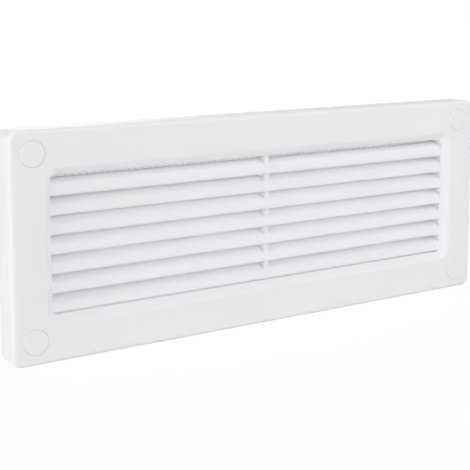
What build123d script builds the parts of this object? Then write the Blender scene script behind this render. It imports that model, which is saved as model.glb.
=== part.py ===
from build123d import *
import os
from math import cos, radians, tan

# Louvred grille for the end of a flat ventilation duct, with its insect screen and four screw caps.
# The wall plane is Y = 0. The louvre faces -Y, the duct lies towards +Y and Z is up. All sizes are in millimetres.

# Frame
frame_width = 234.0
frame_height = 90.0
rim_depth = 11.0
rim_wall = 2.0
face_wall = 2.2
corner_radius = 4.0
front_edge_radius = 1.5

# Spigot that slides into the duct
duct_width = 204.0
duct_height = 60.0
duct_side_clearance = 0.5
duct_top_clearance = 1.0
spigot_wall = 2.0
spigot_reach = 22.0
spigot_corner_radius = 4.0
spigot_lead = 0.8

# Bevel round the louvre
bevel_depth = 3.0
side_bevel = 3.0
level_bevel = 3.2
bevel_corner_radius = 4.5
bevel_edge_radius = 0.4

# Slats
slat_count = 7
nose_depth = 2.6
top_gap = 7.95
sill_gap = 0.57
slat_depth = 5.45
slat_wall = 1.6
slat_slope = 25.0
lip_height = 4.45
lip_radius = 12.0
lip_edge_radius = 0.45
shoulder_radius = 2.0
slat_root = 1.0

# Mullion
mullion_width = 2.6
mullion_setback = 0.8

# Screw bosses and caps
screw_inset_x = 9.5
screw_inset_z = 9.0
screw_hole_diameter = 4.5
head_bore_diameter = 8.8
head_bore_depth = 4.6
boss_wall = 1.6
seat_wall = 1.8
leg_wall = 2.2
web_wall = 1.4
cap_diameter = 10.0
cap_thickness = 1.5
cap_proud = 0.35
cap_edge_radius = 0.5
cap_clearance = 0.1
skirt_length = 1.6
skirt_wall = 0.8

# Stiffening ribs behind the face
rib_count = 5
rib_spacing = 38.0
rib_wall = 1.3
rib_setback = 2.0

# Insect screen and the bumps that hold it
screen_thickness = 1.0
screen_clearance = 0.3
screen_border = 1.2
screen_columns = 60
screen_rows = 2
thread_width = 0.8
cross_bar_width = 1.6
bump_height = 0.8
bump_run = 1.6
bump_width = 9.0
bump_spacing = 64.0
bump_count = 3

# Sizes that follow from those above
spigot_width = duct_width - 2 * duct_side_clearance
spigot_height = duct_height - 2 * duct_top_clearance
clear_width = spigot_width - 2 * spigot_wall
clear_height = spigot_height - 2 * spigot_wall
clear_corner_radius = spigot_corner_radius - spigot_wall
opening_width = clear_width + 2 * side_bevel
opening_height = clear_height + 2 * level_bevel
rim_inner_width = frame_width - 2 * rim_wall
rim_inner_height = frame_height - 2 * rim_wall
slat_pitch = (clear_height - top_gap - sill_gap) / (slat_count - 1)
screw_spacing_x = frame_width - 2 * screw_inset_x
screw_spacing_z = frame_height - 2 * screw_inset_z
cap_seat_depth = cap_thickness - cap_proud
boss_radius = head_bore_diameter / 2 + boss_wall
boss_depth = head_bore_depth + seat_wall
louvre_depth = nose_depth + slat_depth


def behind_face(depth):
    """Plane parallel to the wall, at a depth behind the front face, with its normal towards the front."""
    return Plane.XZ.offset(rim_depth - depth)


front = behind_face(0)
wall_plane = behind_face(rim_depth)
face_back = behind_face(face_wall)

# Slat section, drawn with x as depth behind the nose and y as height above its lower edge.
# The lip is an arc that stands upright at its foot, and a straight slope carries on from its top to the back.
lip_back = lip_radius - (lip_radius**2 - lip_height**2) ** 0.5
slope_rise = tan(radians(slat_slope))
slope_at_nose = lip_height - lip_back * slope_rise
slope_at_back = slope_at_nose + slat_depth * slope_rise
slope_drop = slat_wall / cos(radians(slat_slope))

with BuildSketch() as slat_hollow:
    with Locations((lip_radius, 0)):
        Circle(lip_radius - slat_wall)
    with BuildLine():
        Polyline(
            (0, 0),
            (slat_depth, 0),
            (slat_depth, slope_at_back - slope_drop),
            (0, slope_at_nose - slope_drop),
            close=True,
        )
    make_face(mode=Mode.INTERSECT)

with BuildSketch() as slat_section:
    with Locations((lip_radius, 0)):
        Circle(lip_radius)
    with BuildLine():
        Polyline((0, 0), (slat_depth, 0), (slat_depth, slope_at_back), (0, slope_at_nose), close=True)
    make_face(mode=Mode.INTERSECT)
    shoulder = slat_section.vertices().filter_by_position(Axis.X, 0, slat_depth / 2).sort_by(Axis.Y)[-1]
    fillet(shoulder, shoulder_radius)
    add(slat_hollow.sketch, mode=Mode.SUBTRACT)
    lip_foot = slat_section.vertices().filter_by_position(Axis.Y, 0, 0).sort_by(Axis.X)[:2]
    fillet(lip_foot, lip_edge_radius)

# Grille body: one moulding
with BuildPart() as grille_body:
    # Deep frame with rounded front edges, hollow behind its face
    with BuildSketch(wall_plane):
        RectangleRounded(frame_width, frame_height, corner_radius)
    extrude(amount=rim_depth)
    fillet(grille_body.faces().sort_by(Axis.Y)[0].edges(), front_edge_radius)
    with BuildSketch(wall_plane):
        RectangleRounded(rim_inner_width, rim_inner_height, corner_radius - rim_wall)
    extrude(amount=rim_depth - face_wall, mode=Mode.SUBTRACT)

    # Spigot, from the back of the face to its end inside the duct
    with BuildSketch(face_back):
        RectangleRounded(spigot_width, spigot_height, spigot_corner_radius)
    extrude(amount=-(rim_depth - face_wall + spigot_reach))
    chamfer(grille_body.faces().sort_by(Axis.Y)[-1].edges(), spigot_lead)

    # Ribs from the spigot to the rim
    level_rib = (rim_inner_height - spigot_height) / 2
    side_rib = (rim_inner_width - spigot_width) / 2
    with BuildSketch(face_back):
        with GridLocations(rib_spacing, spigot_height + level_rib, rib_count, 2):
            Rectangle(rib_wall, level_rib + rim_wall)
        with GridLocations(spigot_width + side_rib, 0, 2, 1):
            Rectangle(side_rib + rim_wall, rib_wall)
    extrude(amount=-(rim_depth - face_wall - rib_setback))

    # Screw bosses, each tied to the rim by two webs, with a slim leg down to the wall
    web_x = (rim_inner_width - screw_spacing_x) / 2 + rim_wall / 2
    web_z = (rim_inner_height - screw_spacing_z) / 2 + rim_wall / 2
    with BuildSketch(face_back):
        with GridLocations(screw_spacing_x, screw_spacing_z, 2, 2):
            Circle(boss_radius)
        with GridLocations(screw_spacing_x + web_x, screw_spacing_z, 2, 2):
            Rectangle(web_x, web_wall)
        with GridLocations(screw_spacing_x, screw_spacing_z + web_z, 2, 2):
            Rectangle(web_wall, web_z)
    extrude(amount=-(boss_depth - face_wall))
    with BuildSketch(behind_face(boss_depth)):
        with GridLocations(screw_spacing_x, screw_spacing_z, 2, 2):
            Circle(screw_hole_diameter / 2 + leg_wall)
    extrude(amount=-(rim_depth - boss_depth))

    # Louvre opening: a straight way through the spigot and a bevel at its mouth
    with BuildSketch(front):
        RectangleRounded(clear_width, clear_height, clear_corner_radius)
    extrude(amount=-(rim_depth + spigot_reach), mode=Mode.SUBTRACT)
    with BuildSketch(front):
        RectangleRounded(opening_width, opening_height, bevel_corner_radius)
    with BuildSketch(behind_face(bevel_depth)):
        RectangleRounded(clear_width, clear_height, clear_corner_radius)
    loft(mode=Mode.SUBTRACT)
    fillet(grille_body.faces().sort_by(Axis.Y)[0].inner_wires()[0].edges(), bevel_edge_radius)

    # Slats, rooted in the spigot's side walls
    slat_length = clear_width + 2 * slat_root
    nose_y = nose_depth - rim_depth
    first_nose_z = clear_height / 2 - top_gap
    with BuildSketch(Plane.YZ.offset(-slat_length / 2)):
        with Locations(*[(nose_y, first_nose_z - k * slat_pitch) for k in range(slat_count)]):
            add(slat_section.sketch)
    extrude(amount=slat_length)

    # Mullion behind the slats' lips
    with BuildSketch(behind_face(nose_depth + mullion_setback)):
        Rectangle(mullion_width, clear_height + 2 * slat_root)
    extrude(amount=-(slat_depth - mullion_setback))

    # Bumps inside the spigot, square towards the screen and sloping towards the duct
    bump_face = louvre_depth + screen_thickness - rim_depth
    with BuildSketch(*[Plane.YZ.offset(x.position.X) for x in GridLocations(bump_spacing, 1, bump_count, 1)]):
        with BuildLine():
            Polyline(
                (bump_face, clear_height / 2 + slat_root),
                (bump_face, clear_height / 2 - bump_height),
                (bump_face + bump_run, clear_height / 2),
                (bump_face + bump_run, clear_height / 2 + slat_root),
                close=True,
            )
        make_face()
        mirror(about=Plane.XZ)
    extrude(amount=bump_width / 2, both=True)

    # Screw holes with a bore for the screw's head and a shallow seat for the cap
    with Locations(front):
        with GridLocations(screw_spacing_x, screw_spacing_z, 2, 2):
            CounterBoreHole(screw_hole_diameter / 2, head_bore_diameter / 2, head_bore_depth)
            Hole(cap_diameter / 2 + cap_clearance, depth=cap_seat_depth)

# Insect screen: a bordered net that lies on the backs of the slats
screen_width = clear_width - 2 * screen_clearance
screen_height = clear_height - 2 * screen_clearance
net_pitch_x = (screen_width - 2 * screen_border + thread_width) / screen_columns
net_pitch_z = (screen_height - 2 * screen_border + cross_bar_width) / screen_rows

with BuildPart() as insect_screen:
    with BuildSketch(behind_face(louvre_depth)):
        RectangleRounded(screen_width, screen_height, clear_corner_radius)
        with GridLocations(net_pitch_x, net_pitch_z, screen_columns, screen_rows):
            Rectangle(net_pitch_x - thread_width, net_pitch_z - cross_bar_width, mode=Mode.SUBTRACT)
    extrude(amount=-screen_thickness)

# Screw caps: a disc that sits in its seat, and a skirt that grips the bore below
cap_seat = behind_face(cap_seat_depth)
skirt_radius = head_bore_diameter / 2 - cap_clearance
cap_places = {
    "top_left": (-1, 1),
    "top_right": (1, 1),
    "bottom_left": (-1, -1),
    "bottom_right": (1, -1),
}
pieces = {"grille_body": grille_body, "insect_screen": insect_screen}
for corner, (side, level) in cap_places.items():
    cap_centre = (side * screw_spacing_x / 2, level * screw_spacing_z / 2)
    with BuildPart() as screw_cap:
        with BuildSketch(cap_seat):
            with Locations(cap_centre):
                Circle(cap_diameter / 2)
        extrude(amount=cap_thickness)
        fillet(screw_cap.faces().sort_by(Axis.Y)[0].edges(), cap_edge_radius)
        with BuildSketch(cap_seat):
            with Locations(cap_centre):
                Circle(skirt_radius)
                Circle(skirt_radius - skirt_wall, mode=Mode.SUBTRACT)
        extrude(amount=-skirt_length)
    pieces[f"screw_cap_{corner}"] = screw_cap

os.makedirs("parts", exist_ok=True)
for name, piece in pieces.items():
    piece.part.label = name
    export_step(piece.part, f"parts/{name}.step")
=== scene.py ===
import math

import bpy
import numpy as np
from bpy.props import FloatProperty, FloatVectorProperty, IntProperty, PointerProperty
from mathutils import Matrix, Vector


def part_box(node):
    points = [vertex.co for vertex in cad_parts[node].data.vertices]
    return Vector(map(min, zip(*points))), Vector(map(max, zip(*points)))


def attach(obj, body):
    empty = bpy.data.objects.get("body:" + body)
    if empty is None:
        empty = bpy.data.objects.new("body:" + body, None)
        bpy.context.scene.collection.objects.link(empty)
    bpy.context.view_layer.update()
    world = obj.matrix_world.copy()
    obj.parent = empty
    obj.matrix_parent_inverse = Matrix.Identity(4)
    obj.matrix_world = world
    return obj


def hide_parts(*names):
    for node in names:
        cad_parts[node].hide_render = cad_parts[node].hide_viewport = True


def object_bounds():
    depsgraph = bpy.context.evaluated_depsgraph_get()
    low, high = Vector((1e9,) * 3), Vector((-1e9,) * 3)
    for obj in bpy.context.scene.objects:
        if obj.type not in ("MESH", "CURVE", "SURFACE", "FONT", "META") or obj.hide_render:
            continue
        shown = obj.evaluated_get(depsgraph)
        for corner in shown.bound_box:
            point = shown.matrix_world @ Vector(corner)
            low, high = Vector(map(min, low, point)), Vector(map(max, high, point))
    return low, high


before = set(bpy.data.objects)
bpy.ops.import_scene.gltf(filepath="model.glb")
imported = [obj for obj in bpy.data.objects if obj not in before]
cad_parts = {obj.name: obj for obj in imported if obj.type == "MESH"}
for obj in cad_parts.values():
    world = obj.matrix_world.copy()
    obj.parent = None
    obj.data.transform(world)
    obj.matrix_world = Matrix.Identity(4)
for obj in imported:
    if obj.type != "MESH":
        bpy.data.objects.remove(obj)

bl_info = {
    "name": "Duct grille",
    "version": (1, 0, 0),
    "blender": (4, 5, 0),
    "location": "3D View > Sidebar > Grille",
    "description": "Finishes a louvred duct grille, strands its insect net and sets up a plain studio",
    "category": "Object",
}

cad_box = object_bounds()
net_low, net_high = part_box("insect_screen")
CAP_NODES = sorted(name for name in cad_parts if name.startswith("screw_cap_"))

MM = 0.001
AXIS_X, AXIS_Y, AXIS_Z = range(3)
WHITE = (1.0, 1.0, 1.0, 1.0)

# Side of the picture in pixels, and width of the camera's sensor in millimetres
IMAGE_SIDE = 470
SENSOR = 36.0

# Sockets of a Mix node for colours, by number, because those for numbers and vectors have the same names
MIX_FACTOR, MIX_FIRST, MIX_SECOND, MIX_RESULT = 0, 6, 7, 2

# Mean of a noise. A swing is counted from it, and says how much a roughness changes over the whole noise.
NOISE_MEAN = 0.5

# Grille plastic. The flow lines run level, because their noise is squeezed upwards.
PLASTIC_IOR = 1.49
EASE_SAMPLES = 8
FLOW_SQUEEZE = 7.0
FLOW_SWING = 0.14
GRAIN_SWING = 0.06

# How far beyond a cap's edge the grille's plastic stays plain, and from where on it is fully softened
PLAIN_REACH = 0.8 * MM
SOFT_REACH = 3.5 * MM

# Cap plastic. Its clouds and its grain are given as shares of the grille's, and it is a little smoother.
CAP_CLOUD_SHARE = 0.3
CAP_GRAIN_SHARE = 0.7
CAP_DEPTH_SHARE = 0.6
CAP_POLISH = 0.05
CAP_CLOUD_SWING = 0.06
CAP_RING_SWING = 0.015
CAP_RING_PITCH = 0.9 * MM

# Net plastic. Its duller stretches are counted in pitches, and its specks are a share of a strand's width.
NET_DULL_PITCHES = 6
NET_DULL_WEIGHT = 0.7
NET_SPECK_SHARE = 0.5
NET_SPECK_DEPTH = 0.02 * MM
NET_SPECK_SWING = 0.16
NET_ROUGHNESS = 0.54

# Border of the net: points in one rounded corner, sides of its section, and power of the section's oval
CORNER_POINTS = 7
BORDER_SIDES = 16
BORDER_POWER = 4

# Floor: half its side, its own grey, and the plain white that the camera sees in its place. Close to the
# grille the white is only a share, so that the shadow shows, and farther out it is all that shows.
FLOOR_HALF = 4.0
FLOOR_GREY = (0.9, 0.9, 0.9, 1.0)
FLOOR_WHITE_STRENGTH = 1.04
FLOOR_WHITE_SHARE = 0.85
FLOOR_FADE_START = 0.15
FLOOR_FADE_END = 0.55


class PlasticFinish(bpy.types.PropertyGroup):
    """Look of the moulded plastic of the grille and its caps."""

    white: FloatVectorProperty(
        name="White",
        description="Main colour of the moulded plastic",
        subtype="COLOR",
        default=(0.932, 0.933, 0.962),
        min=0.0,
        max=1.0,
    )
    clouded_white: FloatVectorProperty(
        name="Clouded white",
        description="Colour of the faint clouds in the plastic",
        subtype="COLOR",
        default=(0.914, 0.916, 0.947),
        min=0.0,
        max=1.0,
    )
    cap_white: FloatVectorProperty(
        name="Cap white",
        description="Main colour of the caps and of the plastic close round them",
        subtype="COLOR",
        default=(0.932, 0.933, 0.945),
        min=0.0,
        max=1.0,
    )
    clouded_cap_white: FloatVectorProperty(
        name="Clouded cap white",
        description="Colour of the faint clouds in the caps",
        subtype="COLOR",
        default=(0.914, 0.916, 0.927),
        min=0.0,
        max=1.0,
    )
    cloud_size: FloatProperty(
        name="Cloud size",
        description="Width of a cloud in the plastic",
        default=45 * MM,
        unit="LENGTH",
    )
    grain_size: FloatProperty(
        name="Grain size",
        description="Width of one pit of the eroded mould's texture",
        default=0.45 * MM,
        unit="LENGTH",
    )
    grain_depth: FloatProperty(
        name="Grain depth",
        description="Depth of the eroded mould's texture",
        default=0.012 * MM,
        unit="LENGTH",
    )
    roughness: FloatProperty(
        name="Roughness",
        description="Mean roughness of the plastic",
        default=0.62,
        subtype="FACTOR",
        min=0.0,
        max=1.0,
    )
    gloss: FloatProperty(
        name="Gloss",
        description="Strength of the plastic's reflections",
        default=0.3,
        subtype="FACTOR",
        min=0.0,
        max=1.0,
    )
    edge_ease: FloatProperty(
        name="Edge ease",
        description="How far the shading of the body's edges is rounded",
        default=1.6 * MM,
        unit="LENGTH",
    )
    scatter: FloatProperty(
        name="Scatter",
        description="Share of the light that scatters inside the plastic",
        default=0.7,
        subtype="FACTOR",
    )
    scatter_depth: FloatProperty(
        name="Scatter depth",
        description="How far light scatters inside the plastic",
        default=1.5 * MM,
        unit="LENGTH",
    )


class NetShape(bpy.types.PropertyGroup):
    """Sizes and colours of the insect net."""

    pitch: FloatProperty(
        name="Pitch",
        description="Distance between strands",
        default=3.08 * MM,
        unit="LENGTH",
    )
    strand_width: FloatProperty(
        name="Strand width",
        description="Width of a strand between crossings",
        default=0.7 * MM,
        unit="LENGTH",
    )
    overlap: FloatProperty(
        name="Overlap",
        description="Share of a strand's thickness that is fused at a crossing",
        default=0.3,
        subtype="FACTOR",
    )
    swell: FloatProperty(
        name="Swell",
        description="How much wider a strand is where it crosses another",
        default=0.28,
        subtype="FACTOR",
    )
    border: FloatProperty(
        name="Border",
        description="Width of the net's welded edge",
        default=0.86 * MM,
        unit="LENGTH",
    )
    corner: FloatProperty(
        name="Corner",
        description="Corner radius of the net",
        default=2.0 * MM,
        unit="LENGTH",
    )
    sides: IntProperty(
        name="Sides",
        description="Faces round one strand",
        default=8,
        min=5,
    )
    stations: IntProperty(
        name="Stations",
        description="Rings of points in one pitch",
        default=4,
        min=2,
    )
    pale: FloatVectorProperty(
        name="Pale",
        description="Colour of the net",
        subtype="COLOR",
        default=(0.80, 0.80, 0.79),
        min=0.0,
        max=1.0,
    )
    dull: FloatVectorProperty(
        name="Dull",
        description="Colour of the net's duller stretches",
        subtype="COLOR",
        default=(0.72, 0.72, 0.705),
        min=0.0,
        max=1.0,
    )


class StudioSetup(bpy.types.PropertyGroup):
    """Floor, light and camera."""

    ambient: FloatProperty(
        name="Ambient",
        description="Strength of the light from all round",
        default=0.12,
        min=0.0,
    )
    front_power: FloatProperty(
        name="Front",
        description="Power of the lamp in front",
        default=2.85,
        unit="POWER",
    )
    right_power: FloatProperty(
        name="Right",
        description="Power of the lamp at the upper right",
        default=2.95,
        unit="POWER",
    )
    left_power: FloatProperty(
        name="Left",
        description="Power of the lamp at the left",
        default=4.7,
        unit="POWER",
    )
    left_front_power: FloatProperty(
        name="Left front",
        description="Power of the lamp at the left, turned to the front",
        default=2.25,
        unit="POWER",
    )
    top_power: FloatProperty(
        name="Top",
        description="Power of the lamp overhead",
        default=3.2,
        unit="POWER",
    )
    back_power: FloatProperty(
        name="Back",
        description="Power of the lamp behind",
        default=5.0,
        unit="POWER",
    )
    duct_power: FloatProperty(
        name="Duct",
        description="Power of the light in the duct's mouth",
        default=0.012,
        unit="POWER",
    )
    lamp_size: FloatProperty(
        name="Lamp size",
        description="Side of each square lamp",
        default=0.45,
        unit="LENGTH",
    )
    lamp_distance: FloatProperty(
        name="Lamp distance",
        description="How far the lamps stand from the grille",
        default=1.1,
        unit="LENGTH",
    )
    camera_yaw: FloatProperty(
        name="Camera yaw",
        description="Turn of the view to the right",
        default=math.radians(32.86),
        subtype="ANGLE",
    )
    camera_pitch: FloatProperty(
        name="Camera pitch",
        description="Tilt of the view downwards",
        default=math.radians(6.864),
        subtype="ANGLE",
    )
    camera_place: FloatVectorProperty(
        name="Camera place",
        description="Where the camera stands",
        subtype="TRANSLATION",
        default=(-266.45 * MM, -395.22 * MM, 93.71 * MM),
    )
    focal_pixels: FloatProperty(
        name="Focal length",
        description="Focal length in picture elements",
        default=1115.96,
    )
    camera_shift: FloatProperty(
        name="Camera shift",
        description="Vertical shift of the lens",
        default=-0.22,
    )


class Channel:
    """A shader value that takes Python arithmetic. Each operation adds a Math node to the same board."""

    def __init__(self, board, socket):
        self.board = board
        self.socket = socket

    def _math(self, operation, first, second):
        return self.board.node("ShaderNodeMath", {"operation": operation}, {0: first, 1: second})

    def __add__(self, other):
        return self._math("ADD", self, other)

    __radd__ = __add__

    def __sub__(self, other):
        return self._math("SUBTRACT", self, other)

    def __rsub__(self, other):
        return self._math("SUBTRACT", other, self)

    def __mul__(self, other):
        return self._math("MULTIPLY", self, other)

    __rmul__ = __mul__


class Board:
    """The node tree of one material or of the world."""

    def __init__(self, owner):
        owner.use_nodes = True
        self.tree = owner.node_tree
        self.tree.nodes.clear()

    def node(self, kind, settings=None, inputs=None, output=0):
        """Adds a node, sets it up, fills or links its sockets, and gives one of its outputs if it has any."""
        made = self.tree.nodes.new(kind)
        for key, value in (settings or {}).items():
            setattr(made, key, value)
        for key, value in (inputs or {}).items():
            if isinstance(value, Channel):
                self.tree.links.new(value.socket, made.inputs[key])
            else:
                made.inputs[key].default_value = value
        return Channel(self, made.outputs[output]) if len(made.outputs) else None

    def place(self):
        """Object coordinates, which are the grille's own frame in metres."""
        return self.node("ShaderNodeTexCoord", output="Object")

    def noise(self, place, size, detail, roughness=0.5):
        """Noise from 0 to 1 whose features are about as wide as the size given."""
        inputs = {"Vector": place, "Scale": 1 / size, "Detail": detail, "Roughness": roughness}
        return self.node("ShaderNodeTexNoise", {"noise_dimensions": "3D"}, inputs)

    def mix(self, factor, first, second):
        """Colour between two plain colours."""
        inputs = {MIX_FACTOR: factor, MIX_FIRST: (*first, 1.0), MIX_SECOND: (*second, 1.0)}
        return self.node("ShaderNodeMix", {"data_type": "RGBA"}, inputs, output=MIX_RESULT)

    def stretched(self, place, scale):
        """Coordinates scaled along each axis."""
        return self.node("ShaderNodeMapping", {"vector_type": "POINT"}, {"Vector": place, "Scale": scale})

    def vector(self, operation, first, second=None):
        """Vector that an operation makes from one or two others."""
        inputs = {0: first} if second is None else {0: first, 1: second}
        return self.node("ShaderNodeVectorMath", {"operation": operation}, inputs)

    def length(self, vector):
        """Length of a vector."""
        return self.node("ShaderNodeVectorMath", {"operation": "LENGTH"}, {0: vector}, output="Value")

    def smooth_step(self, inputs):
        """Value that eases from one level to another over a range."""
        return self.node("ShaderNodeMapRange", {"interpolation_type": "SMOOTHSTEP"}, inputs)

    def blend(self, factor, first, second):
        """Shader between two shaders."""
        return self.node("ShaderNodeMixShader", inputs={0: factor, 1: first, 2: second})

    def surface(self, shader, output="ShaderNodeOutputMaterial"):
        """Ends the board in its output."""
        self.node(output, inputs={"Surface": shader})


def moulded_plastic(board, finish, colour, roughness, grain, depth, softened):
    """Moulded plastic with a fine grain. Softened, its edges look eased and light scatters below its skin."""
    skin = {"Strength": 1.0, "Distance": depth, "Height": grain}
    inputs = {
        "Base Color": colour,
        "Roughness": roughness,
        "IOR": PLASTIC_IOR,
        "Specular IOR Level": finish.gloss,
    }
    if softened:
        ease = {"Radius": finish.edge_ease}
        skin["Normal"] = board.node("ShaderNodeBevel", {"samples": EASE_SAMPLES}, ease)
        inputs["Subsurface Weight"] = finish.scatter
        inputs["Subsurface Radius"] = (1.0, 1.0, 1.0)
        inputs["Subsurface Scale"] = finish.scatter_depth
    inputs["Normal"] = board.node("ShaderNodeBump", inputs=skin)
    return board.node("ShaderNodeBsdfPrincipled", inputs=inputs)


def grille_plastic(finish, cap_centre, cap_radius):
    """White moulded plastic: faint clouds, flow lines in its gloss, and the fine grain of an eroded mould.

    It is softened except close round the four caps. They mirror about the middle, so the way to the nearest
    one is measured along the face, from the absolute coordinates of a point to the one cap centre whose
    coordinates are positive.
    """
    material = bpy.data.materials.new("white_moulded_plastic")
    board = Board(material)
    place = board.place()
    cloud = board.noise(place, finish.cloud_size, detail=3.0)
    flow = board.noise(board.stretched(place, (1.0, 1.0, FLOW_SQUEEZE)), finish.cloud_size, detail=4.0)
    grain = board.noise(place, finish.grain_size, detail=2.0, roughness=0.6)
    colour = board.mix(cloud, finish.white, finish.clouded_white)
    cap_colour = board.mix(cloud, finish.cap_white, finish.clouded_cap_white)
    roughness = finish.roughness + FLOW_SWING * (flow - NOISE_MEAN) + GRAIN_SWING * (grain - NOISE_MEAN)
    plain = moulded_plastic(board, finish, cap_colour, roughness, grain, finish.grain_depth, softened=False)
    soft = moulded_plastic(board, finish, colour, roughness, grain, finish.grain_depth, softened=True)
    offset = board.vector("SUBTRACT", board.vector("ABSOLUTE", place), cap_centre)
    reach = board.length(board.vector("MULTIPLY", offset, (1.0, 0.0, 1.0)))
    away = {"Value": reach, "From Min": cap_radius + PLAIN_REACH, "From Max": cap_radius + SOFT_REACH}
    board.surface(board.blend(board.smooth_step(away), plain, soft))
    return material


def cap_plastic(finish, name, centre):
    """Cap plastic: its own white with a finer skin, and faint rings in its gloss round the cap's centre.

    The rings are the sine of the way from the centre, one wave for each ring pitch.
    """
    material = bpy.data.materials.new(name)
    board = Board(material)
    place = board.place()
    reach = board.length(board.vector("SUBTRACT", place, centre))
    ring = board.node("ShaderNodeMath", {"operation": "SINE"}, {0: reach * (2 * math.pi / CAP_RING_PITCH)})
    cloud = board.noise(place, CAP_CLOUD_SHARE * finish.cloud_size, detail=3.0)
    grain = board.noise(place, CAP_GRAIN_SHARE * finish.grain_size, detail=2.0)
    depth = CAP_DEPTH_SHARE * finish.grain_depth
    colour = board.mix(cloud, finish.cap_white, finish.clouded_cap_white)
    smooth = finish.roughness - CAP_POLISH
    roughness = smooth + CAP_CLOUD_SWING * (cloud - NOISE_MEAN) + CAP_RING_SWING * ring
    board.surface(moulded_plastic(board, finish, colour, roughness, grain, depth, softened=False))
    return material


def net_plastic(shape):
    """Extruded net: pale plastic with duller stretches and fine specks in its colour, gloss and skin."""
    material = bpy.data.materials.new("pale_net_plastic")
    board = Board(material)
    place = board.place()
    dull = board.noise(place, NET_DULL_PITCHES * shape.pitch, detail=3.0)
    speck = board.noise(place, NET_SPECK_SHARE * shape.strand_width, detail=2.0)
    dullness = NET_DULL_WEIGHT * dull + (1 - NET_DULL_WEIGHT) * speck
    skin = {"Strength": 1.0, "Distance": NET_SPECK_DEPTH, "Height": speck}
    inputs = {
        "Base Color": board.mix(dullness, shape.pale, shape.dull),
        "Roughness": NET_ROUGHNESS + NET_SPECK_SWING * (speck - NOISE_MEAN),
        "Normal": board.node("ShaderNodeBump", inputs=skin),
        "IOR": PLASTIC_IOR,
    }
    board.surface(board.node("ShaderNodeBsdfPrincipled", inputs=inputs))
    return material


def tube_mesh(centres, first, second, closed):
    """Oval tubes as one grid each: a point is the centre of its ring + an offset across + an offset in depth.

    centres, first and second are arrays of tubes x stations x sides x 3, or 1 where nothing changes, and the
    sides go once round a ring. Closed tubes join their last station to the first, and open ones end in a flat
    face.
    """
    rings = centres + first + second
    tubes, stations, sides = rings.shape[:3]
    index = np.arange(tubes * stations * sides).reshape(tubes, stations, sides)
    here = index if closed else index[:, :-1]
    ahead = np.roll(index, -1, axis=1) if closed else index[:, 1:]
    quads = np.stack([here, np.roll(here, -1, axis=2), np.roll(ahead, -1, axis=2), ahead], axis=-1)
    faces = quads.reshape(-1, 4).tolist()
    if not closed:
        faces += index[:, 0, ::-1].tolist() + index[:, -1].tolist()
    return rings.reshape(-1, 3), faces


def strands(places, along, crossings, axis, depth, half_width, half_depth, shape):
    """Straight oval strands side by side, each a little wider where it crosses another.

    A strand runs along its axis through the stations in along. Its half width is that of the plain strand
    times 1 + swell * exp(-(d / w)^2), where d is the distance to the nearest crossing and w the strand's own
    width. Upright and level strands go round in opposite ways, so that the faces of both point outwards.
    """
    turn = np.linspace(0, 2 * np.pi, shape.sides, endpoint=False)
    near = np.abs(along[:, None] - crossings[None, :]).min(axis=1)
    wide = half_width * (1 + shape.swell * np.exp(-((near / shape.strand_width) ** 2)))
    upright = axis == AXIS_Z
    across = AXIS_X if upright else AXIS_Z
    centres = np.zeros((len(places), len(along), 1, 3))
    centres[..., 0, axis] = along
    centres[..., 0, across] = places[:, None]
    centres[..., 0, AXIS_Y] = depth
    width = np.zeros((1, len(along), shape.sides, 3))
    width[..., across] = wide[None, :, None] * (np.cos(turn) if upright else np.sin(turn))
    thickness = np.zeros((1, 1, shape.sides, 3))
    thickness[..., AXIS_Y] = half_depth * (np.sin(turn) if upright else np.cos(turn))
    return tube_mesh(centres, width, thickness, closed=False)


def strand_places(reach, shape):
    """Places of the strands on both sides of the middle, half a pitch from it, as far as the border."""
    count = int((reach - 0.5 * shape.strand_width) / shape.pitch + 0.5)
    return (np.arange(-count, count) + 0.5) * shape.pitch


def net_border(shape):
    """Welded edge of the net: a rounded bar carried round a rounded rectangle.

    The path is a quarter circle about each corner's centre, with straight runs between them. The bar's
    section is a squared oval, |x|^4 + |y|^4 = 1 stretched to the border's width and the net's thickness, and
    it stands across the path on the path's own outward direction.
    """
    quarter = np.linspace(0, np.pi / 2, CORNER_POINTS)
    turn = np.concatenate([quarter + k * np.pi / 2 for k in range(4)])
    outward = np.stack([np.cos(turn), np.zeros_like(turn), np.sin(turn)], axis=1)
    centre_x = np.repeat([1, -1, -1, 1], CORNER_POINTS) * (net_high.x - shape.corner)
    centre_z = np.repeat([1, 1, -1, -1], CORNER_POINTS) * (net_high.z - shape.corner)
    middle = np.full_like(turn, 0.5 * (net_low.y + net_high.y))
    radius = shape.corner - shape.border / 2
    path = np.stack([centre_x, middle, centre_z], axis=1) + radius * outward
    section = np.linspace(0, 2 * np.pi, BORDER_SIDES, endpoint=False)
    powers = np.abs(np.cos(section)) ** BORDER_POWER + np.abs(np.sin(section)) ** BORDER_POWER
    squared = powers ** (-1 / BORDER_POWER)
    reach = 0.5 * shape.border * np.cos(section) * squared
    depth = 0.5 * (net_high.y - net_low.y) * np.sin(section) * squared
    first = reach[None, None, :, None] * outward[None, :, None, :]
    second = depth[None, None, :, None] * np.array([0.0, 1.0, 0.0])
    return tube_mesh(path[None, :, None, :], first, -second, closed=True)


def new_piece(name, parts, material):
    """Joins point and face lists into one smooth object that rides on the grille."""
    points = []
    faces = []
    count = 0
    for part_points, part_faces in parts:
        points.append(part_points)
        faces += [[corner + count for corner in face] for face in part_faces]
        count += len(part_points)
    mesh = bpy.data.meshes.new(name)
    mesh.from_pydata(np.concatenate(points).tolist(), [], faces)
    mesh.polygons.foreach_set("use_smooth", np.ones(len(mesh.polygons), dtype=bool))
    mesh.materials.append(material)
    mesh.update()
    piece = bpy.data.objects.new(name, mesh)
    bpy.context.scene.collection.objects.link(piece)
    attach(piece, "root")
    return piece


def dress(node, material):
    """Gives a CAD node its finish and leaves its shape alone."""
    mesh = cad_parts[node].data
    mesh.materials.clear()
    mesh.materials.append(material)


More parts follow.
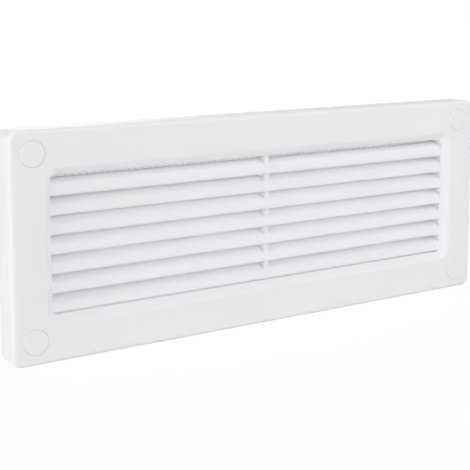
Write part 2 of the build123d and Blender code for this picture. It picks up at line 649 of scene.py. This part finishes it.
class GRILLE_OT_body(bpy.types.Operator):
    """Gives the one-piece grille its white moulded plastic"""

    bl_idname = "grille.body"
    bl_label = "Grille body"

    def execute(self, context):
        low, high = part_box("screw_cap_top_right")
        plastic = grille_plastic(context.scene.grille_finish, (low + high) / 2, 0.5 * (high.x - low.x))
        dress("grille_body", plastic)
        return {"FINISHED"}


class GRILLE_OT_caps(bpy.types.Operator):
    """Gives the four screw caps their white plastic"""

    bl_idname = "grille.caps"
    bl_label = "Screw caps"

    def execute(self, context):
        for node in CAP_NODES:
            low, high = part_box(node)
            dress(node, cap_plastic(context.scene.grille_finish, node + "_plastic", (low + high) / 2))
        return {"FINISHED"}


class GRILLE_OT_net(bpy.types.Operator):
    """Strands the insect net behind the slats"""

    bl_idname = "grille.net"
    bl_label = "Insect net"

    def execute(self, context):
        shape = context.scene.grille_net
        half_width = 0.5 * shape.strand_width
        half_depth = 0.5 * (net_high.y - net_low.y) / (2 - shape.overlap)
        inner_x = net_high.x - 0.5 * shape.border
        inner_z = net_high.z - 0.5 * shape.border
        columns = strand_places(net_high.x - shape.border, shape)
        rows = strand_places(net_high.z - shape.border, shape)
        up = np.linspace(-inner_z, inner_z, int(2 * inner_z / shape.pitch * shape.stations))
        along = np.linspace(-inner_x, inner_x, int(2 * inner_x / shape.pitch * shape.stations))
        parts = [
            strands(columns, up, rows, AXIS_Z, net_low.y + half_depth, half_width, half_depth, shape),
            strands(rows, along, columns, AXIS_X, net_high.y - half_depth, half_width, half_depth, shape),
            net_border(shape),
        ]
        net = new_piece("insect_net", parts, net_plastic(shape))
        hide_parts("insect_screen")
        return {"FINISHED"}


def softbox(name, azimuth, elevation, power, studio):
    """Square lamp aimed at the middle of the grille, from degrees right of the front and degrees up."""
    lamp = bpy.data.lights.new(name, "AREA")
    lamp.shape = "SQUARE"
    lamp.size = studio.lamp_size
    lamp.energy = power
    turn = math.radians(azimuth)
    rise = math.radians(elevation)
    away = Vector((math.sin(turn) * math.cos(rise), -math.cos(turn) * math.cos(rise), math.sin(rise)))
    box = bpy.data.objects.new(name, lamp)
    box.location = away * studio.lamp_distance
    box.rotation_euler = away.to_track_quat("Z", "Y").to_euler()
    box.visible_camera = False
    bpy.context.scene.collection.objects.link(box)


def seen_directly(board):
    """1 for rays that show the background as it is: from the camera, and by way of gloss or glass."""
    path = board.node("ShaderNodeLightPath", output="Is Camera Ray")
    outputs = path.socket.node.outputs
    return path + Channel(board, outputs["Is Glossy Ray"]) + Channel(board, outputs["Is Transmission Ray"])


class GRILLE_OT_studio(bpy.types.Operator):
    """Sets up the floor, the soft light and the camera"""

    bl_idname = "grille.studio"
    bl_label = "Studio"

    def execute(self, context):
        scene = context.scene
        studio = scene.grille_studio
        self.floor(scene)
        self.world(scene, studio)
        softbox("front_softbox", azimuth=0, elevation=20, power=studio.front_power, studio=studio)
        softbox("right_softbox", azimuth=30, elevation=35, power=studio.right_power, studio=studio)
        softbox("left_softbox", azimuth=-90, elevation=5, power=studio.left_power, studio=studio)
        softbox("left_front_softbox", azimuth=-75, elevation=5, power=studio.left_front_power, studio=studio)
        softbox("top_softbox", azimuth=0, elevation=88, power=studio.top_power, studio=studio)
        softbox("back_softbox", azimuth=165, elevation=10, power=studio.back_power, studio=studio)
        self.duct_light(scene, studio)
        self.camera(scene, studio)
        scene.view_settings.view_transform = "Standard"
        return {"FINISHED"}

    def floor(self, scene):
        """Plain white floor. It shows some light and shadow near the grille, and none farther out."""
        low, high = -FLOOR_HALF, FLOOR_HALF
        level = cad_box[0].z
        corners = [(low, low, level), (high, low, level), (high, high, level), (low, high, level)]
        mesh = bpy.data.meshes.new("floor")
        mesh.from_pydata(corners, [], [(0, 1, 2, 3)])
        material = bpy.data.materials.new("floor_white")
        board = Board(material)
        matt = board.node("ShaderNodeBsdfDiffuse", inputs={"Color": FLOOR_GREY})
        white = board.node("ShaderNodeEmission", inputs={"Color": WHITE, "Strength": FLOOR_WHITE_STRENGTH})
        fade = {
            "Value": board.length(board.place()),
            "From Min": FLOOR_FADE_START,
            "From Max": FLOOR_FADE_END,
            "To Min": FLOOR_WHITE_SHARE,
            "To Max": 1.0,
        }
        share = board.smooth_step(fade)
        board.surface(board.blend(share * seen_directly(board), matt, white))
        mesh.materials.append(material)
        floor = bpy.data.objects.new("floor", mesh)
        scene.collection.objects.link(floor)

    def world(self, scene, studio):
        """White behind the object, and even light of a set strength for everything else."""
        world = bpy.data.worlds.new("studio")
        board = Board(world)
        even = board.node("ShaderNodeBackground", inputs={"Color": WHITE, "Strength": studio.ambient})
        white = board.node("ShaderNodeBackground", inputs={"Color": WHITE, "Strength": 1.0})
        board.surface(board.blend(seen_directly(board), even, white), "ShaderNodeOutputWorld")
        scene.world = world

    def duct_light(self, scene, studio):
        """Lamp that fills the spigot's mouth and shines forward, like the daylight in an open duct."""
        lamp = bpy.data.lights.new("duct_light", "AREA")
        lamp.shape = "RECTANGLE"
        lamp.size = net_high.x - net_low.x
        lamp.size_y = net_high.z - net_low.z
        lamp.energy = studio.duct_power
        light = bpy.data.objects.new("duct_light", lamp)
        light.location = (0.0, cad_box[1].y, 0.0)
        light.rotation_euler = (-math.pi / 2, 0.0, 0.0)
        light.visible_camera = False
        scene.collection.objects.link(light)

    def camera(self, scene, studio):
        """Camera at the photograph's viewpoint, with a small shift of the lens for its framing."""
        lens = bpy.data.cameras.new("camera")
        lens.sensor_width = SENSOR
        lens.lens = studio.focal_pixels / IMAGE_SIDE * SENSOR
        lens.shift_y = studio.camera_shift
        camera = bpy.data.objects.new("camera", lens)
        yaw = Matrix.Rotation(-studio.camera_yaw, 4, "Z")
        pitch = Matrix.Rotation(math.pi / 2 - studio.camera_pitch, 4, "X")
        camera.matrix_world = Matrix.Translation(studio.camera_place) @ yaw @ pitch
        scene.collection.objects.link(camera)
        scene.camera = camera


class GRILLE_PT_panel(bpy.types.Panel):
    """Lists the grille's settings and steps"""

    bl_idname = "GRILLE_PT_panel"
    bl_label = "Duct grille"
    bl_space_type = "VIEW_3D"
    bl_region_type = "UI"
    bl_category = "Grille"

    def draw(self, context):
        scene = context.scene
        for settings in (scene.grille_finish, scene.grille_net, scene.grille_studio):
            box = self.layout.box()
            for name in settings.bl_rna.properties.keys():
                if name not in {"rna_type", "name"}:
                    box.prop(settings, name)
        for step in STEPS:
            self.layout.operator(step.bl_idname)


STEPS = (GRILLE_OT_body, GRILLE_OT_caps, GRILLE_OT_net, GRILLE_OT_studio)
CLASSES = (PlasticFinish, NetShape, StudioSetup, *STEPS, GRILLE_PT_panel)


def register():
    for item in CLASSES:
        bpy.utils.register_class(item)
    bpy.types.Scene.grille_finish = PointerProperty(type=PlasticFinish)
    bpy.types.Scene.grille_net = PointerProperty(type=NetShape)
    bpy.types.Scene.grille_studio = PointerProperty(type=StudioSetup)


def unregister():
    del bpy.types.Scene.grille_studio
    del bpy.types.Scene.grille_net
    del bpy.types.Scene.grille_finish
    for item in reversed(CLASSES):
        bpy.utils.unregister_class(item)


def main():
    register()
    bpy.ops.grille.body()
    bpy.ops.grille.caps()
    bpy.ops.grille.net()
    bpy.ops.grille.studio()


if __name__ == "__main__":
    main()
